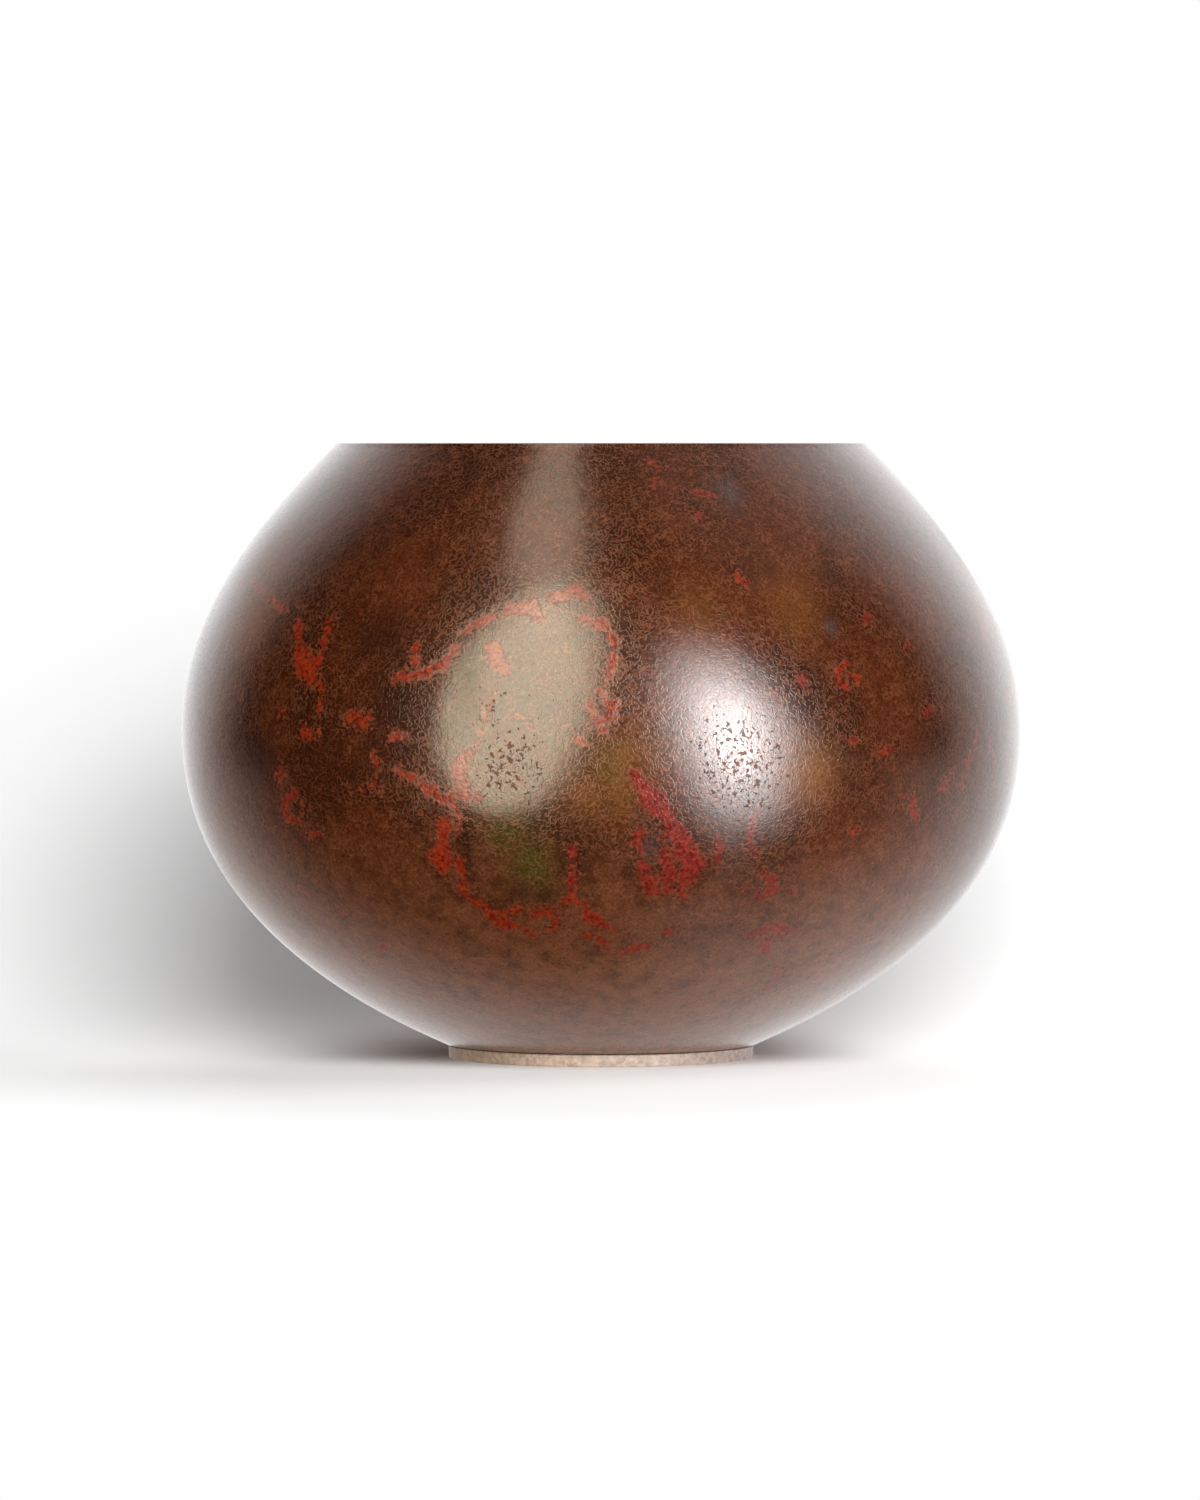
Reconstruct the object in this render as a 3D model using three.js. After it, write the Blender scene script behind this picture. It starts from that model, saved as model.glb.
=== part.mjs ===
// A squat, round flower vase of cast bronze, about as wide as a dinner plate.
//
// It is three turned pieces, soldered together from below:
//   vase_body   the casting, a thin shell from the mouth down to the hole that the core was dug out of
//   base_plate  a stepped disc that closes the core hole; its boss centres in the hole
//   foot_ring   the low ring that the vase stands on; it centres on the plate's flange
//
// Units are millimetres, +Z is up, and the origin is the middle of the standing face.

import * as THREE from "three";

// Overall form
const VASE_HEIGHT = 161;
const BELLY_DIAMETER = 220;
const BELLY_HEIGHT = 85.5; // of the widest line above the standing face
const MOUTH_DIAMETER = 138.7; // over the outer edge of the lip

// The outline above the belly: how far the curve runs straight up from the belly and straight down from the lip
const SHOULDER_FULLNESS = 33.7;
const SHOULDER_RUN = 22.2;
const SHOULDER_SLOPE = 45.5; // degrees above the horizontal at the lip

// The outline below the belly, in the same way
const UNDERBODY_FULLNESS = 50.8;
const UNDERBODY_RUN = 20;
const UNDERBODY_SLOPE = 24.5; // degrees above the horizontal at the foot

// Casting
const WALL = 2.8;
const FLOOR = 2.8; // thickness of the flat floor round the core hole

// Lip
const LIP_WALL = 5; // the wall swells to this at the mouth
const LIP_SWELL_DEPTH = 26; // over this height below the mouth
const LIP_LAND = 5.6; // width of the level top of the lip
const LIP_OUTER_ROUND = 0.5;
const LIP_INNER_ROUND = 1.1;

// Foot ring
const FOOT_DIAMETER = 80.8; // where it meets the body
const FOOT_HEIGHT = 3.2;
const FOOT_WIDTH = 6.6; // across the ring's section, where it meets the body
const FOOT_TAPER = 0.1; // how much smaller in radius the foot is at the floor
const FOOT_FLARE = 0.4; // radius of the hollow that runs the foot out into the body
const FOOT_EDGE = 0.5; // chamfer on the inner edge of the standing face

// Base plate
const PLATE_SEAT = 2.5; // how far the flange laps on to the body's underside, all round the core hole
const PLATE_FLANGE_THICKNESS = 1.8;
const PLATE_EDGE = 0.4; // chamfer on the rim of the flange

// Fits
const SOLDER_GAP = 0.3; // radial room for solder, round the boss and round the flange

// Facets
const AROUND = 80;
const CURVE_STEPS = 14; // on each half of the outline
const ROUND_STEPS = 3;

const bellyRadius = BELLY_DIAMETER / 2;
const mouthRadius = MOUTH_DIAMETER / 2;
const footRadius = FOOT_DIAMETER / 2;
const footBoreRadius = footRadius - FOOT_WIDTH;
const flangeRadius = footBoreRadius - SOLDER_GAP;
const coreHoleRadius = flangeRadius - PLATE_SEAT;
const lipBoreRadius = mouthRadius - LIP_LAND;

// The body's own frame has its underside at zero
const bodyHeight = VASE_HEIGHT - FOOT_HEIGHT;
const bellyLevel = BELLY_HEIGHT - FOOT_HEIGHT;

const point = (r, z) => new THREE.Vector2(r, z);

function slopeDirection(degrees) {
  const angle = THREE.MathUtils.degToRad(degrees);
  return point(Math.cos(angle), Math.sin(angle));
}

// Two smooth curves that share an upright tangent at the belly
function outlineCurves() {
  const heel = point(footRadius, 0);
  const belly = point(bellyRadius, bellyLevel);
  const lip = point(mouthRadius, bodyHeight);
  const fromHeel = slopeDirection(UNDERBODY_SLOPE).multiplyScalar(UNDERBODY_RUN);
  const fromLip = slopeDirection(-SHOULDER_SLOPE).multiplyScalar(SHOULDER_RUN);
  const underbody = new THREE.CubicBezierCurve(
    heel,
    heel.clone().add(fromHeel),
    point(bellyRadius, bellyLevel - UNDERBODY_FULLNESS),
    belly,
  );
  const shoulder = new THREE.CubicBezierCurve(
    belly,
    point(bellyRadius, bellyLevel + SHOULDER_FULLNESS),
    lip.clone().add(fromLip),
    lip,
  );
  return [underbody, shoulder];
}

// Stations along the outline, from the heel to the lip, each with the normal that points out of the metal
function outlineStations() {
  const stations = [];
  for (const curve of outlineCurves()) {
    for (let i = stations.length ? 1 : 0; i <= CURVE_STEPS; i++) {
      const along = i / CURVE_STEPS;
      const tangent = curve.getTangentAt(along);
      stations.push({ at: curve.getPointAt(along), normal: point(tangent.y, -tangent.x) });
    }
  }
  return stations;
}

function wallAt(level) {
  const swell = THREE.MathUtils.smoothstep(level, bodyHeight - LIP_SWELL_DEPTH, bodyHeight);
  return THREE.MathUtils.lerp(WALL, LIP_WALL, swell);
}

// Where the line through two points reaches a level, or a radius
function pointAtLevel(a, b, level) {
  return a.clone().lerp(b, (level - a.y) / (b.y - a.y));
}

function pointAtRadius(a, b, radius) {
  return a.clone().lerp(b, (radius - a.x) / (b.x - a.x));
}

// The inside of the shell, from the lip's bore down to the flat floor
function insideOutline(stations) {
  const offset = stations.map(({ at, normal }) => at.clone().addScaledVector(normal, -wallAt(at.y)));
  const last = offset.length - 1;
  const isInside = (p) => p.y > FLOOR && (p.y < bellyLevel || p.x > lipBoreRadius);
  const kept = offset.filter(isInside);
  const above = offset[offset.indexOf(kept[kept.length - 1]) + 1];
  const lipEnd = above
    ? pointAtRadius(kept[kept.length - 1], above, lipBoreRadius)
    : pointAtRadius(offset[last - 1], offset[last], lipBoreRadius);
  const below = offset[offset.indexOf(kept[0]) - 1];
  const floorEnd = pointAtLevel(below, kept[0], FLOOR);
  return [lipEnd, ...kept.reverse(), floorEnd];
}

// A rounded corner between two straight edges that meet at a point
function roundedCorner(before, corner, after, radius) {
  const back = before.clone().sub(corner).normalize();
  const on = after.clone().sub(corner).normalize();
  const half = Math.acos(back.dot(on)) / 2;
  const toCentre = back.clone().add(on).normalize();
  const centre = corner.clone().addScaledVector(toCentre, radius / Math.sin(half));
  const reach = radius / Math.tan(half);
  const start = corner.clone().addScaledVector(back, reach).sub(centre);
  const end = corner.clone().addScaledVector(on, reach).sub(centre);
  const turn = Math.atan2(start.x * end.y - start.y * end.x, start.dot(end));
  const arc = [];
  for (let i = 0; i <= ROUND_STEPS; i++) {
    const spoke = start.clone().rotateAround(point(0, 0), (turn * i) / ROUND_STEPS);
    arc.push(centre.clone().add(spoke));
  }
  return arc;
}

function bodyProfile() {
  const stations = outlineStations();
  const outside = stations.map(({ at }) => at);
  const inside = insideOutline(stations);
  const lip = outside.pop();
  const bore = point(lipBoreRadius, bodyHeight);
  return [
    point(coreHoleRadius, 0),
    ...outside,
    ...roundedCorner(outside[outside.length - 1], lip, bore, LIP_OUTER_ROUND),
    ...roundedCorner(lip, bore, inside[0], LIP_INNER_ROUND),
    ...inside,
    point(coreHoleRadius, FLOOR),
  ];
}

// The boss fills the core hole level with the floor, and the flange seats on the body's underside
function plateProfile() {
  const bossRadius = coreHoleRadius - SOLDER_GAP;
  return [
    point(0, 0),
    point(flangeRadius - PLATE_EDGE, 0),
    point(flangeRadius, PLATE_EDGE),
    point(flangeRadius, PLATE_FLANGE_THICKNESS),
    point(bossRadius, PLATE_FLANGE_THICKNESS),
    point(bossRadius, PLATE_FLANGE_THICKNESS + FLOOR),
    point(0, PLATE_FLANGE_THICKNESS + FLOOR),
  ];
}

// The ring's outer side leans in towards the floor, and a small hollow runs it out to the body's heel
function footProfile() {
  const standingRadius = footRadius - FOOT_TAPER - FOOT_FLARE;
  const hollowLevel = FOOT_HEIGHT - FOOT_FLARE;
  const hollow = [];
  for (let i = 0; i <= ROUND_STEPS; i++) {
    const angle = ((Math.PI / 2) * i) / ROUND_STEPS;
    const across = FOOT_FLARE * (1 - Math.cos(angle));
    const up = FOOT_FLARE * Math.sin(angle);
    hollow.push(point(footRadius - FOOT_FLARE + across, hollowLevel + up));
  }
  return [
    point(footBoreRadius + FOOT_EDGE, 0),
    point(standingRadius, 0),
    ...hollow,
    point(footBoreRadius, FOOT_HEIGHT),
    point(footBoreRadius, FOOT_EDGE),
  ];
}

// Turns a profile of (radius, level) points about +Z
function turned(profile, isRing) {
  const points = isRing ? [...profile, profile[0]] : profile;
  return new THREE.LatheGeometry(points, AROUND).rotateX(Math.PI / 2);
}

function piece(name, geometry, level, colour, roughness, metalness) {
  const material = new THREE.MeshStandardMaterial({ color: colour, roughness, metalness });
  const mesh = new THREE.Mesh(geometry, material);
  mesh.name = name;
  mesh.position.z = level;
  return mesh;
}

const plateLevel = FOOT_HEIGHT - PLATE_FLANGE_THICKNESS;

const vase = new THREE.Group();
vase.add(piece("vase_body", turned(bodyProfile(), true), FOOT_HEIGHT, 0x4f2c1a, 0.34, 0.5));
vase.add(piece("foot_ring", turned(footProfile(), true), 0, 0x5a3526, 0.4, 0.5));
vase.add(piece("base_plate", turned(plateProfile(), false), plateLevel, 0x43291c, 0.55, 0.5));

export default vase;
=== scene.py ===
"""A squat vase of patinated cast bronze, with its foot ring and base plate, on a pale studio floor."""

import math
from functools import partial

import bmesh
import bpy
import numpy as np
from bpy.props import FloatProperty, FloatVectorProperty, IntProperty, PointerProperty
from bpy.types import Operator, Panel, PropertyGroup
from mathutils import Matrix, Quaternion, Vector


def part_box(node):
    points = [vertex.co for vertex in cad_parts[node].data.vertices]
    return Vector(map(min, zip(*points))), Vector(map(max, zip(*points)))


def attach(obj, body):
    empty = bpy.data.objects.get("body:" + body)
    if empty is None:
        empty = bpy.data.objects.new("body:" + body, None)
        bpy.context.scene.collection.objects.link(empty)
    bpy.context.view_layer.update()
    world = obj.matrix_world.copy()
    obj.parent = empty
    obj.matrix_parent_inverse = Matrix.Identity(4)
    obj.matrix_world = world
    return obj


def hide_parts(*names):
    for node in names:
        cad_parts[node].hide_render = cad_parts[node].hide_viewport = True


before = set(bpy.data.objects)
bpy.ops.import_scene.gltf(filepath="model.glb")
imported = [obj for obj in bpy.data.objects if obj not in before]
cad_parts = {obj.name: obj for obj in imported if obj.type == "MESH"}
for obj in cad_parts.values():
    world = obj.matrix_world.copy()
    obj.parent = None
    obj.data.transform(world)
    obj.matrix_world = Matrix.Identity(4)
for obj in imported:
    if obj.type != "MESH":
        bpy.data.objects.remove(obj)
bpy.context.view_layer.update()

bl_info = {
    "name": "Bronze Vase",
    "version": (1, 0, 0),
    "blender": (4, 5, 0),
    "location": "3D View > Sidebar > Vase",
    "description": "Builds a turned vase of patinated cast bronze and a studio to show it in",
    "category": "Add Mesh",
}

MM = 0.001

# Levels and radii that the frame already holds, in metres
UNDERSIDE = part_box("vase_body")[0].z
MOUTH_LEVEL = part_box("vase_body")[1].z
BELLY_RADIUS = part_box("vase_body")[1].x
FOOT_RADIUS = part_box("foot_ring")[1].x
FLANGE_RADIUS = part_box("base_plate")[1].x
PLATE_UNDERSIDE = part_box("base_plate")[0].z
FLOOR_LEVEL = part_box("base_plate")[1].z


def linear(code):
    """A colour written as sRGB hex, as linear red, green, blue and alpha."""
    channels = [int(code[i:i + 2], 16) / 255 for i in (1, 3, 5)]
    return (*[c / 12.92 if c <= 0.04045 else ((c + 0.055) / 1.055) ** 2.4 for c in channels], 1.0)


def add_node(tree, kind, inputs=(), out=0, **settings):
    """Adds a node and gives one of its outputs, or all of them where out is None.

    The inputs are given in order, with None for one that is left alone, or by name. Each is a plain value or
    the output that feeds it. A shader node's kind is written without its prefix.
    """
    node = tree.nodes.new(kind if "Node" in kind else f"ShaderNode{kind}")
    for name, value in settings.items():
        setattr(node, name, value)
    for key, value in inputs.items() if isinstance(inputs, dict) else enumerate(inputs):
        if isinstance(value, bpy.types.NodeSocket):
            tree.links.new(value, node.inputs[key])
        elif value is not None:
            node.inputs[key].default_value = value
    return node.outputs if out is None else node.outputs[out]


# Settings that many nodes share
SMOOTH = {"interpolation_type": "SMOOTHSTEP"}
COLOUR_MIX = {"out": 2, "data_type": "RGBA"}

# Inputs of a Mix node for colours
FACTOR, UNDER, OVER = 0, 6, 7


# What a user can change

def length_property(name, millimetres, description):
    return FloatProperty(name=name, description=description, default=millimetres * MM, unit="LENGTH")


def angle_property(name, degrees, description):
    return FloatProperty(name=name, description=description, default=math.radians(degrees), subtype="ANGLE")


def colour_property(name, code, description):
    return FloatVectorProperty(
        name=name, description=description, size=4, subtype="COLOR", default=linear(code))


def brightness_property(name, default, description):
    return FloatProperty(name=name, description=description, default=default)


class VaseShape(PropertyGroup):
    """Sizes of the vase that the frame's boxes don't give."""

    belly_level: length_property("Belly level", 85.5, "Height of the widest line")
    mouth_radius: length_property("Mouth radius", 69.35, "Outer edge of the lip")
    shoulder_fullness: length_property(
        "Shoulder fullness", 33.7, "How far the outline runs straight up from the belly")
    shoulder_run: length_property("Shoulder run", 22.2, "How far the outline runs straight down from the lip")
    shoulder_slope: angle_property(
        "Shoulder slope", 45.5, "Angle of the outline at the lip, above the horizontal")
    underbody_fullness: length_property(
        "Underbody fullness", 50.8, "How far the outline runs straight down from the belly")
    underbody_run: length_property("Underbody run", 20, "How far the outline runs straight out from the foot")
    underbody_slope: angle_property(
        "Underbody slope", 24.5, "Angle of the outline at the foot, above the horizontal")
    wall: length_property("Wall", 2.8, "Thickness of the casting")
    lip_wall: length_property("Lip wall", 5, "Thickness that the wall swells to at the mouth")
    lip_swell_depth: length_property("Lip swell depth", 26, "Height over which the wall swells")
    lip_land: length_property("Lip land", 5.6, "Width of the lip's level top")
    lip_outer_round: length_property("Lip outer round", 0.5, "Radius of the lip's outer edge")
    lip_inner_round: length_property("Lip inner round", 1.1, "Radius of the lip's inner edge")
    core_hole_radius: length_property("Core hole radius", 31, "Hole in the floor that the base plate closes")
    solder_gap: length_property("Solder gap", 0.3, "Radial room for solder in each joint")
    foot_taper: length_property("Foot taper", 0.1, "How much smaller in radius the foot is at the floor")
    foot_flare: length_property("Foot flare", 0.4, "Hollow that runs the foot out into the body")
    edge: length_property("Edge", 0.4, "Radius of the eased edges of foot and plate")
    skin_depth: length_property("Skin depth", 0.22, "How far the cast skin dips below its true outline")
    skin_wave: length_property("Skin wave", 26, "Spacing of the dips in the cast skin")
    columns: IntProperty(name="Columns", description="Facets round the body", default=432)


class VasePatina(PropertyGroup):
    """Colours and grain of the surfaces."""

    umber: colour_property("Umber", "#391806", "Deep brown of the patina")
    russet: colour_property("Russet", "#5b280d", "Lighter brown clouds")
    # Tan is also the painted light over the low belly
    tan: colour_property("Tan", "#8b563a", "Fine pale grains")
    # Sand is partly painted glint along the hairlines' relief
    sand: colour_property("Sand", "#a3674c", "Curling hairlines")
    soot: colour_property("Soot", "#28140b", "Pits and dark grains")
    gold: colour_property("Gold", "#7d4f24", "Places where the metal glows through")
    fringe: colour_property("Fringe", "#84452c", "Rusty grains round the blooms")
    ember: colour_property("Ember", "#661708", "Deep red of the orange-red blooms")
    salmon: colour_property("Salmon", "#973419", "Orange grains of the orange-red blooms")
    crimson: colour_property("Crimson", "#651811", "Bluish red blooms")
    rose: colour_property("Rose", "#8f3529", "Pale grains of the bluish red blooms")
    # Plum is also painted shade over the left of the belly
    plum: colour_property("Plum", "#28100a", "Dusky halo of the blooms")
    olive: colour_property("Olive", "#3c3b10", "Green tinge")
    slate: colour_property("Slate", "#4a3f40", "Grey marks")
    bore: colour_property("Bore", "#43301f", "Dull skin of the inside")
    # Painted reflection in part: the foot ring is made pale for the pale table that it mirrors, over its own
    # red-brown
    foot: colour_property("Foot", "#d6c0b6", "Pale red-brown of the foot ring, which soot darkens")
    plate: colour_property("Plate", "#5a4130", "Dull brown of the base plate")
    solder: colour_property("Solder", "#6e675f", "Darkened solder")
    worn: colour_property("Worn", "#b98a55", "Bare bronze on rubbed edges")
    grain: length_property("Grain", 0.55, "Size of the finest grain")
    seed: IntProperty(name="Seed", description="Draw of the marks on the sides and back", default=11)


class VaseStudio(PropertyGroup):
    """The camera and the lights."""

    camera_distance: length_property("Camera distance", 2257, "From the vase's axis")
    camera_side: length_property("Camera side", -0.26, "How far the camera stands right of the axis")
    lens: FloatProperty(name="Lens", description="Focal length in millimetres", default=206.6)
    tall_lamp: brightness_property("Tall lamp", 2.8, "Brightness of the tall soft lamp on the left")
    high_lamp: brightness_property("High lamp", 1.2, "Brightness of the lamp overhead")
    round_lamp: brightness_property(
        "Round lamp", 13.0, "Brightness at the middle of the oval lamp on the right")
    floor_lamp: brightness_property("Floor lamp", 9.8, "Brightness of the floor's own lamp")
    floor_back_lamp: brightness_property(
        "Floor back lamp", 3.9, "Brightness of the floor's lamp behind the vase")
    floor_side_lamp: brightness_property(
        "Floor side lamp", 1.9, "Brightness of the floor's lamp high on the right")
    ambient: brightness_property("Ambient", 0.07, "Even light from all round")


# Profiles, as lists of (radius, level) in metres

# Steps along a half of the outline: to measure its length, and to draw the outside and the inside
FINE_STEPS = 1999
OUTSIDE_STEPS = 94
INSIDE_STEPS = 17


def bezier(points, steps):
    """Points along a cubic curve, evenly spaced, with the normal on the right hand of the way up."""
    a, b, c, d = (np.array(p) for p in points)

    def at(t):
        return (1 - t) ** 3 * a + 3 * (1 - t) ** 2 * t * b + 3 * (1 - t) * t ** 2 * c + t ** 3 * d

    fine = np.linspace(0, 1, FINE_STEPS + 1)[:, None]
    length = np.concatenate([[0], np.cumsum(np.linalg.norm(np.diff(at(fine), axis=0), axis=1))])
    even = np.interp(np.linspace(0, length[-1], steps + 1), length, fine[:, 0])[:, None]
    way = (1 - even) ** 2 * (b - a) + 2 * (1 - even) * even * (c - b) + even ** 2 * (d - c)
    way /= np.linalg.norm(way, axis=1)[:, None]
    return at(even), np.stack([way[:, 1], -way[:, 0]], axis=1)


def outline(shape, steps):
    """The outside of the body from the heel to the lip, and its outward normals."""
    slope_out = np.array([math.cos(shape.underbody_slope), math.sin(shape.underbody_slope)])
    slope_down = np.array([math.cos(shape.shoulder_slope), -math.sin(shape.shoulder_slope)])
    heel = np.array([FOOT_RADIUS, UNDERSIDE])
    belly = np.array([BELLY_RADIUS, shape.belly_level])
    lip = np.array([shape.mouth_radius, MOUTH_LEVEL])
    under = bezier((heel, heel + shape.underbody_run * slope_out,
                    belly - (0, shape.underbody_fullness), belly), steps)
    over = bezier((belly, belly + (0, shape.shoulder_fullness),
                   lip + shape.shoulder_run * slope_down, lip), steps)
    return np.vstack([under[0], over[0][1:]]), np.vstack([under[1], over[1][1:]])


def rounded(before, corner, after, radius, steps=6):
    """An arc in place of the corner between two straight edges."""
    before, corner, after = (np.array(p) for p in (before, corner, after))
    back = (before - corner) / np.linalg.norm(before - corner)
    on = (after - corner) / np.linalg.norm(after - corner)
    half = math.acos(float(np.clip(back @ on, -1, 1))) / 2
    centre = corner + (back + on) / np.linalg.norm(back + on) * radius / math.sin(half)
    start = corner + back * radius / math.tan(half) - centre
    end = corner + on * radius / math.tan(half) - centre
    turn = math.atan2(start[0] * end[1] - start[1] * end[0], start @ end)
    return [centre + (start[0] * math.cos(t) - start[1] * math.sin(t),
                      start[0] * math.sin(t) + start[1] * math.cos(t))
            for t in (turn * i / steps for i in range(steps + 1))]


def arc(centre, across, up, start, end, steps):
    """Points along an oval, between two angles from its right end."""
    return [(centre[0] + across * math.cos(a), centre[1] + up * math.sin(a))
            for a in np.linspace(start, end, steps + 1)]


def straight(start, end, steps):
    """Points between two ends, without the ends."""
    return [np.array(start) + (np.array(end) - np.array(start)) * i / steps for i in range(1, steps)]


def smoothstep(low, high, value):
    share = np.clip((value - low) / (high - low), 0, 1)
    return share * share * (3 - 2 * share)


def body_profile(shape):
    """The casting's closed section, with where it is the inside, and how free its skin is to wave."""
    outside, _ = outline(shape, OUTSIDE_STEPS)
    stations, normals = outline(shape, INSIDE_STEPS)
    swell = smoothstep(MOUTH_LEVEL - shape.lip_swell_depth, MOUTH_LEVEL, stations[:, 1])
    thickness = shape.wall + (shape.lip_wall - shape.wall) * swell
    offset = stations - normals * thickness[:, None]
    bore_radius = shape.mouth_radius - shape.lip_land
    kept = (offset[:, 1] > FLOOR_LEVEL) & ((offset[:, 1] < shape.belly_level) | (offset[:, 0] > bore_radius))
    first, last = np.flatnonzero(kept)[[0, -1]]
    floor_share = (FLOOR_LEVEL - offset[first - 1, 1]) / (offset[first, 1] - offset[first - 1, 1])
    floor_end = offset[first - 1] + (offset[first] - offset[first - 1]) * floor_share
    above = min(last + 1, len(offset) - 1)
    below = above - 1
    bore_share = (bore_radius - offset[below, 0]) / (offset[above, 0] - offset[below, 0])
    bore_end = offset[below] + (offset[above] - offset[below]) * bore_share
    inside = [bore_end, *offset[first:last + 1][::-1], floor_end]
    lip = outside[-1]
    bore = np.array([bore_radius, MOUTH_LEVEL])
    hole_low = np.array([shape.core_hole_radius, UNDERSIDE])
    hole_high = np.array([shape.core_hole_radius, FLOOR_LEVEL])
    land = rounded(outside[-2], lip, bore, shape.lip_outer_round)
    edge = rounded(lip, bore, bore_end, shape.lip_inner_round, steps=8)
    # Each stretch of the section, whether it is the inside, and how free it is
    stretches = (
        ([hole_low, *straight(hole_low, outside[0], 3)], 0, 0),
        (outside[:-1], 0, 1),
        ([*land, *straight(land[-1], edge[0], 5), *edge], 0, 0.3),
        (inside, 1, 1),
        ([*straight(floor_end, hole_high, 4), hole_high, hole_low], 1, 0),
    )
    points = [at for stretch, _, _ in stretches for at in stretch]
    states = [state for stretch, state, _ in stretches for _ in stretch]
    freedoms = [freedom for stretch, _, freedom in stretches for _ in stretch]
    return points, states, freedoms


def plain(points):
    """A profile that is nowhere the inside, and whose skin doesn't wave."""
    return points, [0] * len(points), [0] * len(points)


def foot_profile(shape):
    """The foot ring's closed section."""
    bore = FLANGE_RADIUS + shape.solder_gap
    standing = FOOT_RADIUS - shape.foot_taper - shape.foot_flare
    hollow = arc((FOOT_RADIUS, UNDERSIDE - shape.foot_flare), -shape.foot_flare, shape.foot_flare,
                 0, math.pi / 2, 6)
    outer = rounded((bore, 0), (standing, 0), hollow[0], shape.edge / 2, steps=5)
    inner = rounded((bore, UNDERSIDE), (bore, 0), (standing, 0), shape.edge, steps=5)
    return plain([*inner, *straight(inner[-1], outer[0], 4), *outer, *straight(outer[-1], hollow[0], 4),
                  *hollow, (bore, UNDERSIDE), inner[0]])


def plate_profile(shape):
    """Half of the base plate's section, from the axis below to the axis above."""
    boss = shape.core_hole_radius - shape.solder_gap
    middle, corner, seat = (0, PLATE_UNDERSIDE), (FLANGE_RADIUS, PLATE_UNDERSIDE), (FLANGE_RADIUS, UNDERSIDE)
    top_edge, top = (boss, FLOOR_LEVEL), (0, FLOOR_LEVEL)
    rim = rounded(middle, corner, seat, shape.edge, steps=5)
    return plain([middle, *straight(middle, rim[0], 12), *rim, seat,
                  (boss, UNDERSIDE), top_edge, *straight(top_edge, top, 12), top])


BEAD_REACH = 1.2 * MM
BEAD_HEIGHT = 0.35 * MM
BEAD_ROOT = 0.1 * MM
FILLET = 0.8 * MM


def floor_bead_profile(shape):
    """A low bead of solder over the joint between the floor and the plate's boss."""
    centre = shape.core_hole_radius - shape.solder_gap / 2
    bead = arc((centre, FLOOR_LEVEL), BEAD_REACH, BEAD_HEIGHT, 0, math.pi, 12)
    root = FLOOR_LEVEL - BEAD_ROOT
    return plain([*bead, (centre - BEAD_REACH, root), (centre + BEAD_REACH, root), bead[0]])


def under_bead_profile(shape):
    """A hollow fillet of solder between the plate's underside and the foot ring's bore."""
    bore = FLANGE_RADIUS + shape.solder_gap
    low, high = PLATE_UNDERSIDE - FILLET, PLATE_UNDERSIDE + BEAD_ROOT
    bead = arc((bore - FILLET, low), FILLET, FILLET, 0, math.pi / 2, 8)
    return plain([*bead, (bore - FILLET, high), (bore + BEAD_ROOT, high), (bore + BEAD_ROOT, low), bead[0]])


# The turning itself

# How strongly the body's columns crowd towards the front, and how many the foot has
FRONT_CROWDING = 0.42
FOOT_COLUMNS = 360

# Points that are nearer than this are one, such as those on the axis and at the last column
MERGE_DISTANCE = 0.001 * MM


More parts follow.
